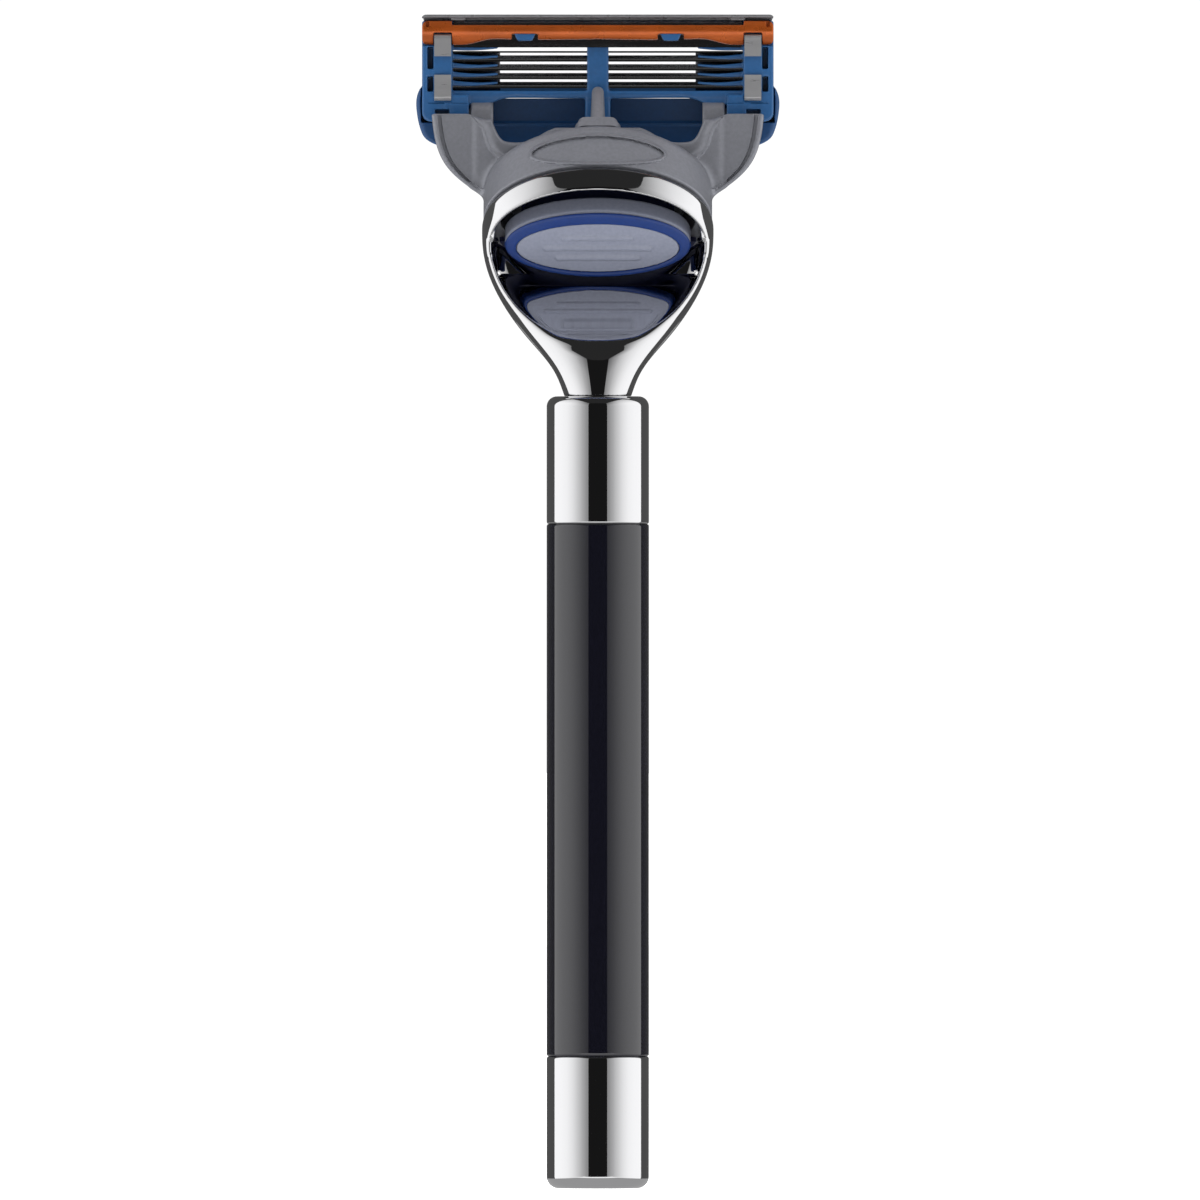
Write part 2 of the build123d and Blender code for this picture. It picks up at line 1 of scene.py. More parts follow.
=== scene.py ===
"""Looks for the cartridge razor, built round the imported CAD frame.

Shapes are worked out in millimetres in the frame's own axes and written to Blender in metres.
"""
import sys
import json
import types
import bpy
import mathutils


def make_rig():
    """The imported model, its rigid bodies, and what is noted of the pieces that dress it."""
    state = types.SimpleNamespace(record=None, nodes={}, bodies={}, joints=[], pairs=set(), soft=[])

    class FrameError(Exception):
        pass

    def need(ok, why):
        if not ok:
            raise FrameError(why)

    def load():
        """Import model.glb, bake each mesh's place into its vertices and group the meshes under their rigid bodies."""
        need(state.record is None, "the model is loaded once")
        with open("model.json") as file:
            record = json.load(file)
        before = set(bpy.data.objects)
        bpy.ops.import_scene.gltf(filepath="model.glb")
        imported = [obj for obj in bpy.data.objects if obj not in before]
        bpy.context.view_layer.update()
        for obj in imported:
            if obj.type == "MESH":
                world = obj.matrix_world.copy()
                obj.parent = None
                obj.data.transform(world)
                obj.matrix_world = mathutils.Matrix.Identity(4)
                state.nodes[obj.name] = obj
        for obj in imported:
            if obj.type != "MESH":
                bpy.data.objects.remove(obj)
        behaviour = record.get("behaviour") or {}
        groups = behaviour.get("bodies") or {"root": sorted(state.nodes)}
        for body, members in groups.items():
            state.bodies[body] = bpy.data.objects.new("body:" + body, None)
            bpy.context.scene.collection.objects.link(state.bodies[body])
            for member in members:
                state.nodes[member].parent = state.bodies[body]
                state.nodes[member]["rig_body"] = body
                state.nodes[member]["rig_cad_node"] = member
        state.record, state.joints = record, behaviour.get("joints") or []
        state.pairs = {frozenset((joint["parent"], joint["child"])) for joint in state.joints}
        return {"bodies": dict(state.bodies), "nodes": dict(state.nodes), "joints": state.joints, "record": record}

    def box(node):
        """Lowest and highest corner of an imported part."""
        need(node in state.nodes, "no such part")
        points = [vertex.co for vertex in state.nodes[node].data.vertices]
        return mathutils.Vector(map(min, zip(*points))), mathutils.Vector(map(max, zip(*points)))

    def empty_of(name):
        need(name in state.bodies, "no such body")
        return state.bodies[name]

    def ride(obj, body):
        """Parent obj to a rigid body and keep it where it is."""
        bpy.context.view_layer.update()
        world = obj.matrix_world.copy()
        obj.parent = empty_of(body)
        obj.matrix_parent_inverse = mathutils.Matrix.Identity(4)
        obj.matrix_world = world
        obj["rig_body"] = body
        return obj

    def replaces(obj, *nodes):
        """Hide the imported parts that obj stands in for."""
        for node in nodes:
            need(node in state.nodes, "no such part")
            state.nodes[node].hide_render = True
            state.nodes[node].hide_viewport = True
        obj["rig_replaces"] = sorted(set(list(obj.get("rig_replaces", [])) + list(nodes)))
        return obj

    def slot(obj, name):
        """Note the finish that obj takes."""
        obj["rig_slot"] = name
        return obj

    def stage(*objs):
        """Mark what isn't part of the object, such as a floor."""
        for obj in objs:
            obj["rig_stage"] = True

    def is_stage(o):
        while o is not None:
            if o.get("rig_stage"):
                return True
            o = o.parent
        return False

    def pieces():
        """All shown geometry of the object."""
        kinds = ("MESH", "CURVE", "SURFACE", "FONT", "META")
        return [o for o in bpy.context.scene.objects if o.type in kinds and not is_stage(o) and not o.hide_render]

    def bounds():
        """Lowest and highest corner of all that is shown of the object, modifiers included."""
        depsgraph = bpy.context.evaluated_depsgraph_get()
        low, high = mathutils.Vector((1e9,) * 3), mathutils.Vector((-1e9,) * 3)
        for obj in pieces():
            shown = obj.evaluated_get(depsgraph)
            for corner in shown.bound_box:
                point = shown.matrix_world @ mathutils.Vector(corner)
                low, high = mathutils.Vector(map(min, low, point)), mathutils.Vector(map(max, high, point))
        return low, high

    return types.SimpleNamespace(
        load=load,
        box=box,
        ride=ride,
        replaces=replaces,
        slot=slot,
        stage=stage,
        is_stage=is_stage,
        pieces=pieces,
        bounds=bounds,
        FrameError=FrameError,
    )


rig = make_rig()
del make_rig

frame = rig.load()

import json
import math

import bmesh
import bpy
import numpy as np

CAD_LOW, CAD_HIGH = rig.bounds()
MM = 0.001


# ================================================================ places, from the frame
def mm_box(node):
    low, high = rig.box(node)
    return np.array(low) / MM, np.array(high) / MM


JOINTS = {joint["name"]: joint for joint in frame["joints"]}
PIVOT = np.array(JOINTS["cartridge_pivot"]["pos_m"]) / MM
DOCK_AXIS = JOINTS["cartridge_release"]["axis"]
DOCK_SIN, DOCK_COS = DOCK_AXIS[1], DOCK_AXIS[2]
RING_Y, RING_Z = 6.0, 114.4     # centre of the head ring's end
RING_A, RING_B = 13.7, 9.3      # half width and half depth of the ring
PIVOT_S = (PIVOT[1] - RING_Y) * DOCK_SIN + (PIVOT[2] - RING_Z) * DOCK_COS
PIVOT_U = (PIVOT[2] - RING_Z) * DOCK_SIN - (PIVOT[1] - RING_Y) * DOCK_COS
CAP_TOP = mm_box("end_cap")[1][2]
SLEEVE_TOP = mm_box("grip_sleeve")[1][2]
COLLAR_TOP = mm_box("neck_collar")[1][2]
HANDLE_R = mm_box("end_cap")[1][0]


# ================================================================ distance shapes, in millimetres
def dock(y, z):
    """Distance along the docking axis and towards the back and top, from the ring's centre."""
    s = (y - RING_Y) * DOCK_SIN + (z - RING_Z) * DOCK_COS
    u = (z - RING_Z) * DOCK_SIN - (y - RING_Y) * DOCK_COS
    return s, u


def oval(p, q, a, b):
    """Nearly the distance from (p, q) to an ellipse with half axes a and b."""
    k0 = np.sqrt((p / a) ** 2 + (q / b) ** 2)
    k1 = np.sqrt((p / (a * a)) ** 2 + (q / (b * b)) ** 2) + 1e-9
    return k0 * (k0 - 1) / k1


def slab(v, low, high):
    return np.maximum(low - v, v - high)


def smooth_min(a, b, k):
    h = np.maximum(k - np.abs(a - b), 0) / k
    return np.minimum(a, b) - h * h * k / 4


def smooth_max(a, b, k):
    return -smooth_min(-a, -b, k)


def segment(p, q, p0, q0, p1, q1):
    """Distance in a plane from (p, q) to a line piece."""
    dp, dq = p1 - p0, q1 - q0
    t = np.clip(((p - p0) * dp + (q - q0) * dq) / (dp * dp + dq * dq), 0, 1)
    return np.hypot(p - p0 - t * dp, q - q0 - t * dq)


def smooth_curve(stations, count=240):
    """Natural cubic through stations, sampled as a table for np.interp."""
    table = np.array(stations, float)
    t, values = table[:, 0], table[:, 1:]
    n = len(t)
    h = np.diff(t)
    system = np.eye(n)
    right = np.zeros((n, values.shape[1]))
    for i in range(1, n - 1):
        system[i, i - 1:i + 2] = h[i - 1], 2 * (h[i - 1] + h[i]), h[i]
        right[i] = 6 * ((values[i + 1] - values[i]) / h[i] - (values[i] - values[i - 1]) / h[i - 1])
    bend = np.linalg.solve(system, right)
    fine = np.linspace(t[0], t[-1], count)
    out = np.empty((count, values.shape[1]))
    for row, value in enumerate(fine):
        i = min(max(np.searchsorted(t, value) - 1, 0), n - 2)
        left, to_right = t[i + 1] - value, value - t[i]
        out[row] = (bend[i] * left ** 3 + bend[i + 1] * to_right ** 3) / (6 * h[i])
        out[row] += (values[i] / h[i] - bend[i] * h[i] / 6) * left
        out[row] += (values[i + 1] / h[i] - bend[i + 1] * h[i] / 6) * to_right
    return fine, out


# ================================================================ distance shape to mesh
def surface_net(field, low, high, cell):
    """Points and quads of field = 0, one point in each crossed cell.

    Groups of cells that lie far from the surface keep the value at their middle.
    """
    group = 4
    reach = 6
    counts = [int(math.ceil((high[i] - low[i]) / cell / group)) for i in range(3)]
    centres = [low[i] + cell * (group * np.arange(counts[i]) + (group - 1) / 2) for i in range(3)]
    values = field(*np.meshgrid(*centres, indexing="ij"))
    for axis in range(3):
        values = np.repeat(values, group, axis)
    near = np.argwhere(np.abs(values) < reach * cell)
    values[tuple(near.T)] = field(*(np.array(low) + cell * near).T)
    inside = values < 0
    shape = np.array(values.shape) - 1
    total = np.zeros(shape)
    sums = np.zeros((*shape, 3))
    corners = [np.array(c) for c in np.ndindex(2, 2, 2)]
    for first in corners:
        for axis in range(3):
            if first[axis]:
                continue
            second = first.copy()
            second[axis] = 1
            cut = tuple(slice(c, c + n) for c, n in zip(first, shape))
            other = tuple(slice(c, c + n) for c, n in zip(second, shape))
            crossed = inside[cut] != inside[other]
            a, b = values[cut], values[other]
            t = np.where(crossed, a / np.where(crossed, a - b, 1), 0)
            for k in range(3):
                step = t if k == axis else 0
                sums[..., k] += crossed * (first[k] + step)
            total += crossed
    used = total > 0
    index = -np.ones(shape, int)
    index[used] = np.arange(used.sum())
    cells = np.argwhere(used)
    points = np.array(low) + cell * (cells + sums[used] / total[used][:, None])
    quads = []
    for axis in range(3):
        one, two = (axis + 1) % 3, (axis + 2) % 3
        span = [slice(1, n) for n in shape]
        span[axis] = slice(0, shape[axis])
        after = list(span)
        after[axis] = slice(1, shape[axis] + 1)
        here, there = inside[tuple(span)], inside[tuple(after)]
        edges = np.argwhere(here != there)
        outward = here[here != there]
        edges[:, one] += 1
        edges[:, two] += 1
        ring = []
        for d_one, d_two in ((1, 1), (0, 1), (0, 0), (1, 0)):
            pick = edges.copy()
            pick[:, one] -= d_one
            pick[:, two] -= d_two
            ring.append(index[tuple(pick.T)])
        ring = np.array(ring).T
        ring[~outward] = ring[~outward][:, ::-1]
        quads.append(ring)
    return points, np.concatenate(quads)


def gradient(field, points, step=0.01):
    slopes = []
    for axis in range(3):
        shift = np.zeros(3)
        shift[axis] = step
        ahead, behind = (points + shift).T, (points - shift).T
        slopes.append((field(*ahead) - field(*behind)) / (2 * step))
    return np.array(slopes).T


def implicit(name, field, low, high, cell, body, slot, *nodes):
    """Mesh of a distance shape, pulled onto its exact surface, in place of CAD nodes."""
    flattest = 0.05
    normal_step = 0.06
    points, quads = surface_net(field, low, high, cell)
    for _ in range(4):
        slope = gradient(field, points)
        size = np.maximum((slope ** 2).sum(1), flattest)
        move = field(*points.T)[:, None] * slope / size[:, None]
        length = np.maximum(np.linalg.norm(move, axis=1), 1e-9)
        points -= move * np.minimum(1, 0.5 * cell / length)[:, None]
    normals = gradient(field, points, normal_step)
    normals /= np.maximum(np.linalg.norm(normals, axis=1), 1e-9)[:, None]
    mesh = bpy.data.meshes.new(name)
    mesh.from_pydata((points * MM).tolist(), [], quads.tolist())
    mesh.update()
    mesh.shade_smooth()
    mesh.normals_split_custom_set_from_vertices(normals.tolist())
    return place(mesh, name, body, slot, *nodes)


def place(mesh, name, body, slot, *nodes):
    piece = bpy.data.objects.new(name, mesh)
    bpy.context.scene.collection.objects.link(piece)
    mesh.materials.append(MATERIALS[slot]())
    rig.ride(piece, body)
    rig.slot(piece, slot)
    if nodes:
        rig.replaces(piece, *nodes)
    return piece


def lathe(name, outline, body, slot, *nodes):
    """Turned piece about Z from an outline in (radius, z); radius 0 closes an end."""
    bm = bmesh.new()
    steps = 192
    rings = []
    for radius, z in outline:
        if radius < 1e-6:
            rings.append([bm.verts.new((0, 0, z * MM))])
            continue
        ring = []
        for i in range(steps):
            turn = 2 * math.pi * i / steps
            ring.append(bm.verts.new((radius * MM * math.cos(turn), radius * MM * math.sin(turn), z * MM)))
        rings.append(ring)
    for low, high in zip(rings, rings[1:]):
        for i in range(steps):
            j = (i + 1) % steps
            corners = [low[i % len(low)], low[j % len(low)], high[j % len(high)], high[i % len(high)]]
            bm.faces.new(list(dict.fromkeys(corners)))
    mesh = bpy.data.meshes.new(name)
    bm.to_mesh(mesh)
    bm.free()
    mesh.shade_smooth()
    return place(mesh, name, body, slot, *nodes)


def rounded(radius, z, corner, start, stop, steps=10):
    """Arc of outline points about (radius, z), angles in degrees from the radius direction."""
    turns = np.radians(np.linspace(start, stop, steps))
    return [(radius + corner * math.cos(t), z + corner * math.sin(t)) for t in turns]


# ================================================================ materials
def new_material(name, color, metallic, roughness, **sockets):
    material = bpy.data.materials.new(name)
    material.use_nodes = True
    shader = material.node_tree.nodes["Principled BSDF"]
    shader.inputs["Base Color"].default_value = (*color, 1)
    shader.inputs["Metallic"].default_value = metallic
    shader.inputs["Roughness"].default_value = roughness
    for socket, value in sockets.items():
        shader.inputs[socket.replace("_", " ")].default_value = value
    return material, material.node_tree, shader


def texture(tree, kind, scale, stretch=(1, 1, 1), **values):
    """Procedural texture on the piece's own coordinates, in metres."""
    coords = tree.nodes.new("ShaderNodeTexCoord")
    mapping = tree.nodes.new("ShaderNodeMapping")
    mapping.inputs["Scale"].default_value = stretch
    node = tree.nodes.new(kind)
    node.inputs["Scale"].default_value = scale
    for socket, value in values.items():
        node.inputs[socket].default_value = value
    tree.links.new(coords.outputs["Object"], mapping.inputs["Vector"])
    tree.links.new(mapping.outputs["Vector"], node.inputs["Vector"])
    return node


def vary_roughness(tree, shader, low, high, scale, stretch=(1, 1, 1)):
    noise = texture(tree, "ShaderNodeTexNoise", scale, stretch, Detail=4.0)
    spread = tree.nodes.new("ShaderNodeMapRange")
    spread.inputs["From Min"].default_value = 0.3
    spread.inputs["From Max"].default_value = 0.7
    spread.inputs["To Min"].default_value = low
    spread.inputs["To Max"].default_value = high
    tree.links.new(noise.outputs["Fac"], spread.inputs["Value"])
    tree.links.new(spread.outputs["Result"], shader.inputs["Roughness"])


def vary_color(tree, shader, dark, light, scale, stretch=(1, 1, 1)):
    noise = texture(tree, "ShaderNodeTexNoise", scale, stretch, Detail=5.0)
    ramp = tree.nodes.new("ShaderNodeValToRGB")
    ramp.color_ramp.elements[0].position = 0.35
    ramp.color_ramp.elements[1].position = 0.65
    ramp.color_ramp.elements[0].color = (*dark, 1)
    ramp.color_ramp.elements[1].color = (*light, 1)
    tree.links.new(noise.outputs["Fac"], ramp.inputs["Fac"])
    tree.links.new(ramp.outputs["Color"], shader.inputs["Base Color"])


def add_bump(tree, shader, scale, strength, depth_mm, stretch=(1, 1, 1)):
    noise = texture(tree, "ShaderNodeTexNoise", scale, stretch, Detail=3.0)
    bump = tree.nodes.new("ShaderNodeBump")
    bump.inputs["Strength"].default_value = strength
    bump.inputs["Distance"].default_value = depth_mm * MM
    tree.links.new(noise.outputs["Fac"], bump.inputs["Height"])
    tree.links.new(bump.outputs["Normal"], shader.inputs["Normal"])


def tint(color, factor):
    return tuple(min(1.0, c * factor) for c in color)


MADE = {}


def once(maker):
    """Makes a material the first time it is asked for."""
    def get():
        if maker.__name__ not in MADE:
            MADE[maker.__name__] = maker()
        return MADE[maker.__name__]
    return get


@once
def chrome():
    material, tree, shader = new_material("chrome", (0.63, 0.63, 0.64), 1.0, 0.03)
    vary_roughness(tree, shader, 0.02, 0.05, 260)
    add_bump(tree, shader, 900, 0.04, 0.01)
    return material


@once
def resin():
    material, tree, shader = new_material("resin", (0.004, 0.004, 0.0075), 0.0, 0.05, IOR=1.7)
    vary_roughness(tree, shader, 0.03, 0.07, 300, (1, 1, 0.2))
    add_bump(tree, shader, 500, 0.05, 0.01, (1, 1, 0.1))
    return material


@once
def steel():
    material, tree, shader = new_material("steel", (0.55, 0.55, 0.56), 1.0, 0.3)
    vary_roughness(tree, shader, 0.22, 0.38, 3000)
    return material


@once
def black_plastic():
    material, tree, shader = new_material("black_plastic", (0.008, 0.011, 0.05), 0.0, 0.45)
    vary_roughness(tree, shader, 0.38, 0.52, 1500)
    add_bump(tree, shader, 9000, 0.2, 0.01)
    return material


def moulded(name, color, low, high, grain, depth_mm, **sockets):
    material, tree, shader = new_material(name, color, sockets.pop("metallic", 0.0), low, **sockets)
    vary_color(tree, shader, tint(color, 0.95), tint(color, 1.06), 2500)
    vary_roughness(tree, shader, low, high, 700)
    add_bump(tree, shader, grain, 0.35, depth_mm)
    return material


@once
def connector_grey():
    return moulded("connector_grey", (0.2, 0.205, 0.23), 0.34, 0.44, 9000, 0.014, metallic=0.45)


@once
def button_grey():
    return moulded("button_grey", (0.2, 0.215, 0.275), 0.34, 0.42, 7000, 0.012)


@once
def button_blue():
    return moulded("button_blue", (0.003, 0.026, 0.145), 0.42, 0.52, 6000, 0.01)


@once
def frame_blue():
    return moulded("frame_blue", (0.014, 0.078, 0.21), 0.28, 0.38, 4000, 0.006)


@once
def guard_rubber():
    return moulded("guard_rubber", (0.003, 0.046, 0.145), 0.36, 0.48, 5000, 0.01)


@once
def clip_aluminium():
    material, tree, shader = new_material("clip_aluminium", (0.36, 0.36, 0.37), 0.6, 0.38)
    vary_roughness(tree, shader, 0.26, 0.42, 2500, (0.1, 1, 1))
    add_bump(tree, shader, 9000, 0.25, 0.006, (0.05, 1, 1))
    return material


@once
def holder_orange():
    color = (0.46, 0.094, 0.013)
    material, tree, shader = new_material("holder_orange", color, 0.6, 0.3, Coat_Weight=0.3)
    shader.inputs["Coat Roughness"].default_value = 0.12
    vary_color(tree, shader, tint(color, 0.85), tint(color, 1.12), 700, (0.3, 1, 1))
    vary_roughness(tree, shader, 0.24, 0.38, 900)
    add_bump(tree, shader, 6000, 0.15, 0.006)
    return material


@once
def blade_steel():
    material, tree, shader = new_material("blade_steel", (0.74, 0.74, 0.75), 1.0, 0.14)
    vary_roughness(tree, shader, 0.1, 0.2, 2500, (0.05, 1, 1))
    add_bump(tree, shader, 12000, 0.1, 0.004, (0.03, 1, 1))
    return material


@once
def support_steel():
    material, tree, shader = new_material("support_steel", (0.76, 0.76, 0.77), 1.0, 0.14)
    vary_roughness(tree, shader, 0.1, 0.18, 2000, (0.08, 1, 1))
    add_bump(tree, shader, 9000, 0.12, 0.004, (0.05, 1, 1))
    return material


@once
def tray_grey():
    return moulded("tray_grey", (0.2, 0.2, 0.21), 0.25, 0.34, 4000, 0.003, metallic=0.5)


@once
def strip_white():
    return moulded("strip_white", (0.50, 0.66, 0.74), 0.4, 0.6, 3500, 0.03, Subsurface_Weight=0.1)


MATERIALS = {maker: globals()[maker] for maker in (
    "chrome", "resin", "steel", "black_plastic", "connector_grey", "button_grey", "button_blue",
    "frame_blue", "guard_rubber", "clip_aluminium", "holder_orange", "blade_steel",
    "support_steel", "tray_grey", "strip_white")}


BEVELLED = ("plunger_guide", "trimmer_blade", "lubricating_strip", "dock_base",
            "clip_left", "clip_right")
BEVEL = 0.06


def finish_cad_nodes():
    """Material and a small bevel on the CAD nodes that stay in view."""
    for entry in frame["record"]["subparts"]:
        node = frame["nodes"][entry["node"]]
        node.data.materials.clear()
        node.data.materials.append(MATERIALS[entry["material_slot"]]())
        if entry["node"] in BEVELLED:
            bevel = node.modifiers.new("soft_edges", "BEVEL")
            bevel.width = BEVEL * MM
            bevel.segments = 2
            bevel.limit_method = "ANGLE"
            bevel.angle_limit = math.radians(40)
            bevel.harden_normals = True


# ================================================================ handle
def build_handle():
    groove = 0.27       # radius of the edge on each side of a joint line
    bottom = 1.4        # radius of the cap's lower edge
    shoulder = 1.2      # radius of the collar's upper edge
    rod_hole = 2.0
    rod_end = 4.6
    end = 0.3           # extra outline points this far from the round edges steady the shading
    lip = 0.08
    tube = 2.55         # inner radius of the sleeve
    cap = [(0.0, 0.0), (HANDLE_R - bottom - end, 0.0), (HANDLE_R - bottom, 0.0)]
    cap += rounded(HANDLE_R - bottom, bottom, bottom, -85, 0, 16)
    cap += [(HANDLE_R, bottom + end), (HANDLE_R, CAP_TOP - groove - end)]
    cap += rounded(HANDLE_R - groove, CAP_TOP - groove, groove, 0, 80, 6)
    cap += [(HANDLE_R - groove - 0.1, CAP_TOP), (rod_hole, CAP_TOP), (rod_hole, rod_end), (0.0, rod_end)]
    lathe("end_cap_turned", cap, "handle", "chrome", "end_cap")

    sleeve = [(tube, SLEEVE_TOP), (tube, CAP_TOP), (HANDLE_R - groove - lip, CAP_TOP)]
    sleeve += rounded(HANDLE_R - groove, CAP_TOP + groove, groove, -80, 0, 6)
    sleeve += [(HANDLE_R, CAP_TOP + groove + end), (HANDLE_R, SLEEVE_TOP - groove - end)]
    sleeve += rounded(HANDLE_R - groove, SLEEVE_TOP - groove, groove, 0, 80, 6)
    sleeve += [(HANDLE_R - groove - lip, SLEEVE_TOP), (tube, SLEEVE_TOP)]
    lathe("grip_sleeve_turned", sleeve, "handle", "resin", "grip_sleeve")

    neck_hole = 3.45
    socket_bottom = COLLAR_TOP - 9.4
    collar = [(rod_hole, SLEEVE_TOP), (HANDLE_R - groove - lip, SLEEVE_TOP)]
    collar += rounded(HANDLE_R - groove, SLEEVE_TOP + groove, groove, -80, 0, 6)
    collar += [(HANDLE_R, SLEEVE_TOP + groove + end), (HANDLE_R, COLLAR_TOP - shoulder - end)]
    collar += rounded(HANDLE_R - shoulder, COLLAR_TOP - shoulder, shoulder, 0, 88, 14)
    collar += [(neck_hole, COLLAR_TOP), (neck_hole, socket_bottom), (rod_hole, socket_bottom)]
    collar += [(rod_hole, SLEEVE_TOP)]
    lathe("neck_collar_turned", collar, "handle", "chrome", "neck_collar")


# ================================================================ head
NECK_R = 3.95
RING_WALL = 1.4
BORE_START = -4.6               # bottom of the ring's bore, on the docking axis
SCOOP_START, SCOOP_TOP = 99.2, 111.9
WINDOW_A, WINDOW_B = 12.5, 5.6  # opening in the back of the spoon
SPOON = smooth_curve([  # centre z, centre y, tilt, half width, half depth
    (COLLAR_TOP, 0.0, 0.0, NECK_R, NECK_R),
    (96.8, 0.3, 8.0, 5.25, 3.9),
    (100.8, 2.35, 22.0, 8.35, 4.8),
    (106.2, 3.2, 34.0, 11.9, 7.4),
    (111.2, 4.4, 42.0, 13.6, 9.1),
    (RING_Z, RING_Y, math.degrees(math.asin(DOCK_SIN)), RING_A, RING_B),
], 2000)
SCOOP_FLOOR = smooth_curve([  # height, how far forward the scoop's floor is
    (SCOOP_START, -3.6), (100.2, -2.4), (101.0, -0.8), (101.9, 0.5), (104.2, 3.1), (106.9, 6.4),
    (108.2, 8.0)], 1000)
SCOOP_RIM = smooth_curve([  # height, half width
    (92.0, -13.0), (98.0, 0.0), (100.1, 4.6), (102.3, 7.6), (104.6, 9.7), (106.3, 10.95),
    (108.5, 12.0), (110.2, 12.42), (SCOOP_TOP, WINDOW_A)], 1500)


def spoon_outside(x, y, z):
    """Ovals carried along a centre line that bends forward into the ring."""
    table_z, table = SPOON
    low = np.full(x.shape, table_z[0])
    high = np.full(x.shape, table_z[-1])
    for _ in range(24):
        middle = (low + high) / 2
        centre_y = np.interp(middle, table_z, table[:, 0])
        tilt = np.radians(np.interp(middle, table_z, table[:, 1]))
        ahead = (y - centre_y) * np.sin(tilt) + (z - middle) * np.cos(tilt) > 0
        low = np.where(ahead, middle, low)
        high = np.where(ahead, high, middle)
    middle = (low + high) / 2
    centre_y = np.interp(middle, table_z, table[:, 0])
    tilt = np.radians(np.interp(middle, table_z, table[:, 1]))
    u = (z - middle) * np.sin(tilt) - (y - centre_y) * np.cos(tilt)
    return oval(x, u, np.interp(middle, table_z, table[:, 2]), np.interp(middle, table_z, table[:, 3]))


def head_field(x, y, z):
    s, u = dock(y, z)
    outside = smooth_max(spoon_outside(x, y, z), s, 1.0)
    outside = smooth_max(outside, COLLAR_TOP + 0.03 - z, 0.1)
    bore = np.maximum(oval(x, u, RING_A - RING_WALL, RING_B - RING_WALL), BORE_START - s)
    floor_y = np.interp(z, SCOOP_FLOOR[0], SCOOP_FLOOR[1][:, 0]) - 1.6 * np.clip(SCOOP_START - z, 0, 9)
    floor = (y - floor_y) * 0.7
    rim = (np.abs(x) - np.interp(z, SCOOP_RIM[0], SCOOP_RIM[1][:, 0])) * 0.75
    scoop = np.maximum(smooth_max(floor, rim, 1.4), z - SCOOP_TOP)
    window = np.maximum(oval(x, z - SCOOP_TOP, WINDOW_A, WINDOW_B), y - 2.0)
    hollow = smooth_min(smooth_min(bore, scoop, 0.6), window, 0.9)
    notch = np.maximum(np.abs(x) - 1.9, np.maximum(-0.35 - s, 8.7 - u))
    softness = np.interp(z, (99.5, 102.5), (1.6, 0.7))
    return np.maximum(smooth_max(outside, -hollow, softness), -notch)


def build_head():
    low, high = mm_box("head_casting")
    low = np.array([low[0], low[1], COLLAR_TOP]) - 0.6
    cell = 0.18
    implicit("head_casting_polished", head_field, low, high + 0.6, cell,
             "handle", "chrome", "head_casting")


# ================================================================ button
PAD_A, PAD_B, PAD_DROP = 9.65, 3.9, 0.5
BUTTON_A, BUTTON_B = 11.0, 5.15
BUTTON_BACK, BUTTON_END = -3.7, -1.0
BUTTON_T = 0.8
BUTTON_WALL = 1.0


def carriage_field(x, y, z):
    s, u = dock(y, z)
    outer = smooth_max(oval(x, u, BUTTON_A, BUTTON_B), slab(s, BUTTON_BACK, BUTTON_END), 0.5)
    room = BUTTON_BACK + BUTTON_T - s
    inner = np.maximum(oval(x, u, BUTTON_A - BUTTON_WALL, BUTTON_B - BUTTON_WALL), room)
    below = np.maximum(u + 2.2, room)
    return np.maximum(outer, -np.minimum(inner, below))


def button_ring_field(x, y, z):
    s, u = dock(y, z)
    outer = oval(x, u, BUTTON_A, BUTTON_B)
    hole = oval(x, u + PAD_DROP, PAD_A, PAD_B)
    band = smooth_max(outer, -hole, 0.2)
    band = smooth_max(band, slab(s, BUTTON_BACK - 0.5, BUTTON_BACK), 0.4)
    skirt = np.maximum(np.abs(outer + 0.2) - 0.24, slab(s, BUTTON_BACK - 0.2, BUTTON_BACK + BUTTON_T))
    return np.minimum(band, np.maximum(skirt, u))


def pad_field(x, y, z):
    s, u = dock(y, z)
    v = u + PAD_DROP
    height = 0.1 * np.clip(1 - (x / PAD_A) ** 2 - (v / PAD_B) ** 2, 0, 1)
    for place_v, half_length in ((1.55, 3.9), (-0.1, 6.1), (-1.65, 4.7)):
        from_rib = segment(x, v, -half_length, place_v, half_length, place_v)
        height = height - 0.2 * np.exp(-(from_rib / 0.36) ** 4)
    face = (BUTTON_BACK - 0.3 + height - s) * 0.8
    return np.maximum(oval(x, v, PAD_A - 0.03, PAD_B - 0.03), np.maximum(face, s - BUTTON_BACK - 0.4))


def build_button():
    for name, field, node, slot, cell in (
            ("button_hood", carriage_field, "button_carriage", "button_grey", 0.25),
            ("button_border", button_ring_field, "button_ring", "button_blue", 0.16),
            ("button_face", pad_field, "button_pad", "button_grey", 0.16)):
        low, high = mm_box(node)
        implicit(name, field, low - 0.5, high + 0.5, cell, "button", slot, node)


# ================================================================ connector
YOKE_A, YOKE_B = 13.55, 9.15
BEARING_X0, BEARING_X1 = 12.4, 15.1
BEARING_R, PIN_R = 1.8, 0.9
PIN_X1 = 17.0
PLUNGER_U, PLUNGER_HOLE_R = 7.0, 0.95
ARM_TOP = 127.25
ARM_BACK, ARM_FRONT = 8.4, 9.8
ARM_OUTER = smooth_curve([(116.4, 11.0), (116.9, 12.4), (117.4, 13.4), (118.8, 15.6), (120.9, 17.85),
                          (123.1, 19.0), (127.3, 19.72)], 600)
WEB_TOP = smooth_curve([(5.0, 125.6), (6.0, 125.2), (7.6, 124.3), (8.9, 123.9), (10.5, 123.9),
                        (11.7, 124.6), (12.6, 126.6)], 600)
ARM_INNER = smooth_curve([(121.0, 10.2), (123.4, 12.7), (125.8, 13.6), (127.3, 15.25)], 600)


